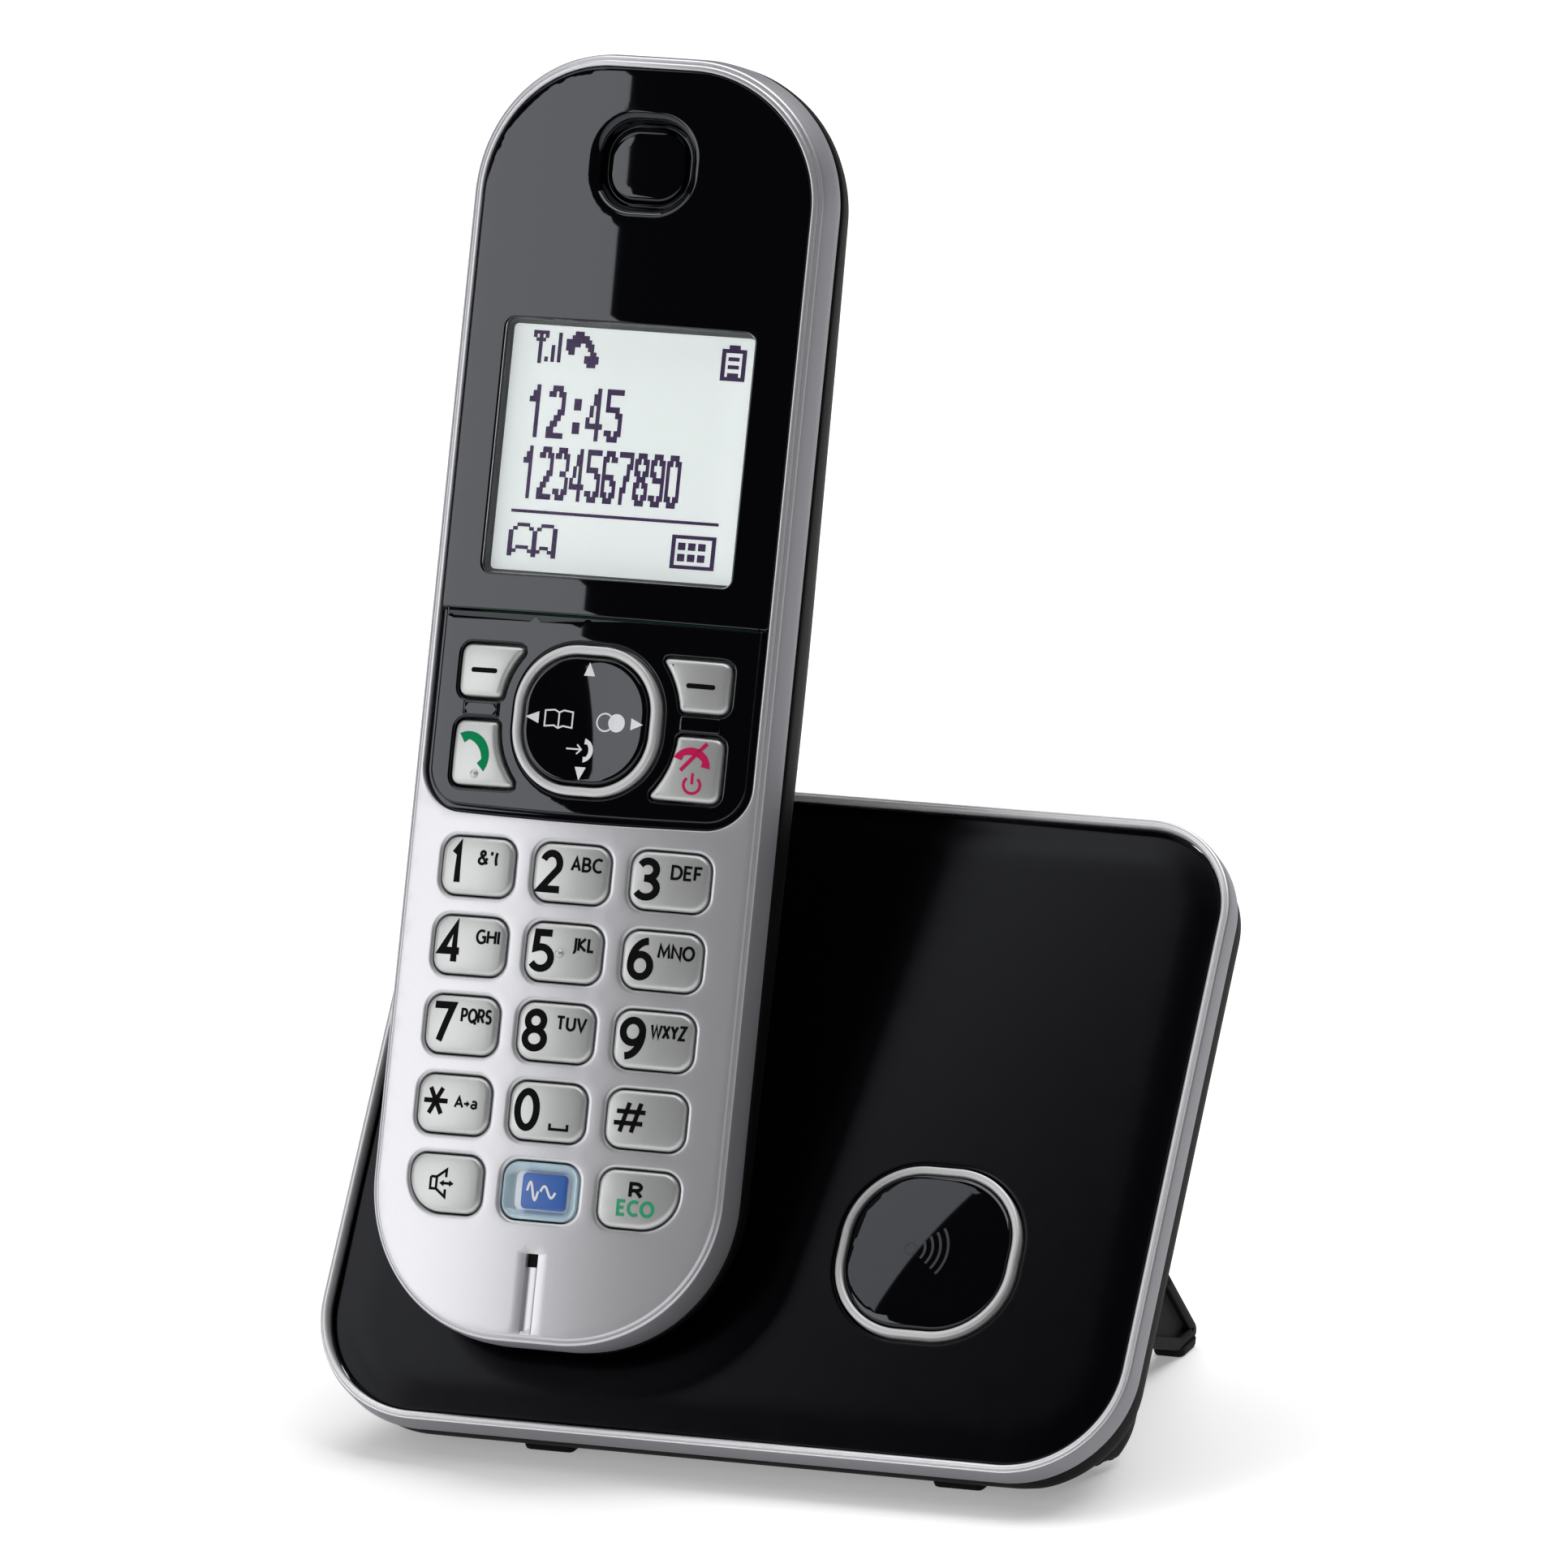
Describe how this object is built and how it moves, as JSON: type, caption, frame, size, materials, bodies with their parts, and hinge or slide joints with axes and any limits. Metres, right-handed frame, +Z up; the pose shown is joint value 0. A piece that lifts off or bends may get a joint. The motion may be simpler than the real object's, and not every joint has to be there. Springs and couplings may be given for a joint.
{
  "type": "cordless phone with base",
  "caption": "Cordless telephone handset standing in a leaning charging base, with display, keypad, navigation key and handset locator button.",
  "frame": {"origin": "on the table, under the middle of the whole object", "axes": "+X to the right, +Y to the back, +Z up"},
  "size_m": [0.1088, 0.0776, 0.1678],
  "materials": {
    "silver_paint": "fine metallic silver lacquer over moulded plastic, satin",
    "silver_key": "silver lacquered key caps, satin",
    "clear_key": "pale blue translucent key cap with a blue badge",
    "bright_trim": "bright silver trim, satin",
    "black_gloss": "piano black, high gloss",
    "black_matt": "black, fine spark texture",
    "rubber_dark": "soft black rubber",
    "silicone_grey": "grey silicone",
    "board": "green solder mask",
    "contact_metal": "nickel plated",
    "steel": "zinc plated",
    "speaker_frame": "dark frame",
    "display": "pale backlit display",
    "cell_sleeve": "printed sleeve"
  },
  "bodies": {
    "base": {"base_panel": "black_gloss", "base_rim": "silver_paint", "base_shell": "black_matt", "locator_switch": "black_matt", "base_pcb": "board", "base_antenna": "contact_metal", "dc_jack": "black_matt", "line_jack": "black_matt", "stand_leg_left": "black_matt", "stand_leg_right": "black_matt", "base_feet": "rubber_dark", "base_screws": "steel"},
    "handset": {"handset_front": "silver_paint", "display_lens": "black_gloss", "nav_panel": "black_gloss", "handset_rear": "black_matt", "battery_left": "cell_sleeve", "battery_right": "cell_sleeve", "battery_terminals": "contact_metal", "handset_pcb": "board", "lcd_module": "display", "earpiece_cover": "black_gloss", "earpiece_speaker": "speaker_frame", "ringer_speaker": "speaker_frame", "microphone": "contact_metal", "mic_boot": "rubber_dark", "handset_antenna": "contact_metal", "keymat": "silicone_grey", "handset_contacts": "contact_metal", "handset_screws": "steel"},
    "locator_button": {"locator_pad": "black_gloss", "locator_ring": "bright_trim"},
    "charge_pin_left": {"charge_pin_left": "contact_metal"},
    "charge_pin_right": {"charge_pin_right": "contact_metal"},
    "battery_cover": {"battery_cover": "black_matt"},
    "nav_ring": {"nav_ring": "bright_trim"},
    "nav_pad": {"nav_pad": "black_gloss"},
    "soft_left": {"soft_left": "silver_key"},
    "soft_right": {"soft_right": "silver_key"},
    "talk_key": {"talk_key": "silver_key"},
    "off_key": {"off_key": "silver_key"},
    "key_1": {"key_1": "silver_key"},
    "key_2": {"key_2": "silver_key"},
    "key_3": {"key_3": "silver_key"},
    "key_4": {"key_4": "silver_key"},
    "key_5": {"key_5": "silver_key"},
    "key_6": {"key_6": "silver_key"},
    "key_7": {"key_7": "silver_key"},
    "key_8": {"key_8": "silver_key"},
    "key_9": {"key_9": "silver_key"},
    "key_star": {"key_star": "silver_key"},
    "key_0": {"key_0": "silver_key"},
    "key_hash": {"key_hash": "silver_key"},
    "key_speaker": {"key_speaker": "silver_key"},
    "key_noise": {"key_noise": "clear_key"},
    "key_recall": {"key_recall": "silver_key"}
  },
  "joints": [
    {"name": "handset_lift", "type": "slide", "parent": "base", "child": "handset", "axis": [0, 0.3795, 0.9252], "range_m": [0, 0.09]},
    {"name": "battery_cover_hinge", "type": "hinge", "parent": "handset", "child": "battery_cover", "pos_m": [-0.0217, 0.00466, 0.06365], "axis": [-1, 0, 0], "range_deg": [0, 25]},
    {"name": "locator_press", "type": "slide", "parent": "base", "child": "locator_button", "axis": [0, 0.7683, -0.6401], "range_m": [0, 0.0008], "stiffness_N_per_m": 400},
    {"name": "nav_up_down", "type": "hinge", "parent": "handset", "child": "nav_ring", "pos_m": [-0.0217, -0.006, 0.08899], "axis": [1, 0, 0], "range_deg": [-2.5, 2.5], "stiffness_Nm_per_rad": 0.03},
    {"name": "nav_left_right", "type": "hinge", "parent": "nav_ring", "child": "nav_pad", "pos_m": [-0.0217, -0.006, 0.08899], "axis": [0, 0.3795, 0.9252], "range_deg": [-2.5, 2.5], "stiffness_Nm_per_rad": 0.03},
    {"name": "charge_pin_left_press", "type": "slide", "parent": "base", "child": "charge_pin_left", "axis": [0, 0.9252, -0.3795], "range_m": [0, 0.0008], "stiffness_N_per_m": 400},
    {"name": "charge_pin_right_press", "type": "slide", "parent": "base", "child": "charge_pin_right", "axis": [0, 0.9252, -0.3795], "range_m": [0, 0.0008], "stiffness_N_per_m": 400},
    {"name": "soft_left_press", "type": "slide", "parent": "handset", "child": "soft_left", "axis": [0, 0.9252, -0.3795], "range_m": [0, 0.0006], "stiffness_N_per_m": 400},
    {"name": "soft_right_press", "type": "slide", "parent": "handset", "child": "soft_right", "axis": [0, 0.9252, -0.3795], "range_m": [0, 0.0006], "stiffness_N_per_m": 400},
    {"name": "talk_key_press", "type": "slide", "parent": "handset", "child": "talk_key", "axis": [0, 0.9252, -0.3795], "range_m": [0, 0.0006], "stiffness_N_per_m": 400},
    {"name": "off_key_press", "type": "slide", "parent": "handset", "child": "off_key", "axis": [0, 0.9252, -0.3795], "range_m": [0, 0.0006], "stiffness_N_per_m": 400},
    {"name": "key_1_press", "type": "slide", "parent": "handset", "child": "key_1", "axis": [0, 0.9252, -0.3795], "range_m": [0, 0.0006], "stiffness_N_per_m": 400},
    {"name": "key_2_press", "type": "slide", "parent": "handset", "child": "key_2", "axis": [0, 0.9252, -0.3795], "range_m": [0, 0.0006], "stiffness_N_per_m": 400},
    {"name": "key_3_press", "type": "slide", "parent": "handset", "child": "key_3", "axis": [0, 0.9252, -0.3795], "range_m": [0, 0.0006], "stiffness_N_per_m": 400},
    {"name": "key_4_press", "type": "slide", "parent": "handset", "child": "key_4", "axis": [0, 0.9252, -0.3795], "range_m": [0, 0.0006], "stiffness_N_per_m": 400},
    {"name": "key_5_press", "type": "slide", "parent": "handset", "child": "key_5", "axis": [0, 0.9252, -0.3795], "range_m": [0, 0.0006], "stiffness_N_per_m": 400},
    {"name": "key_6_press", "type": "slide", "parent": "handset", "child": "key_6", "axis": [0, 0.9252, -0.3795], "range_m": [0, 0.0006], "stiffness_N_per_m": 400},
    {"name": "key_7_press", "type": "slide", "parent": "handset", "child": "key_7", "axis": [0, 0.9252, -0.3795], "range_m": [0, 0.0006], "stiffness_N_per_m": 400},
    {"name": "key_8_press", "type": "slide", "parent": "handset", "child": "key_8", "axis": [0, 0.9252, -0.3795], "range_m": [0, 0.0006], "stiffness_N_per_m": 400},
    {"name": "key_9_press", "type": "slide", "parent": "handset", "child": "key_9", "axis": [0, 0.9252, -0.3795], "range_m": [0, 0.0006], "stiffness_N_per_m": 400},
    {"name": "key_star_press", "type": "slide", "parent": "handset", "child": "key_star", "axis": [0, 0.9252, -0.3795], "range_m": [0, 0.0006], "stiffness_N_per_m": 400},
    {"name": "key_0_press", "type": "slide", "parent": "handset", "child": "key_0", "axis": [0, 0.9252, -0.3795], "range_m": [0, 0.0006], "stiffness_N_per_m": 400},
    {"name": "key_hash_press", "type": "slide", "parent": "handset", "child": "key_hash", "axis": [0, 0.9252, -0.3795], "range_m": [0, 0.0006], "stiffness_N_per_m": 400},
    {"name": "key_speaker_press", "type": "slide", "parent": "handset", "child": "key_speaker", "axis": [0, 0.9252, -0.3795], "range_m": [0, 0.0006], "stiffness_N_per_m": 400},
    {"name": "key_noise_press", "type": "slide", "parent": "handset", "child": "key_noise", "axis": [0, 0.9252, -0.3795], "range_m": [0, 0.0006], "stiffness_N_per_m": 400},
    {"name": "key_recall_press", "type": "slide", "parent": "handset", "child": "key_recall", "axis": [0, 0.9252, -0.3795], "range_m": [0, 0.0006], "stiffness_N_per_m": 400}
  ]
}
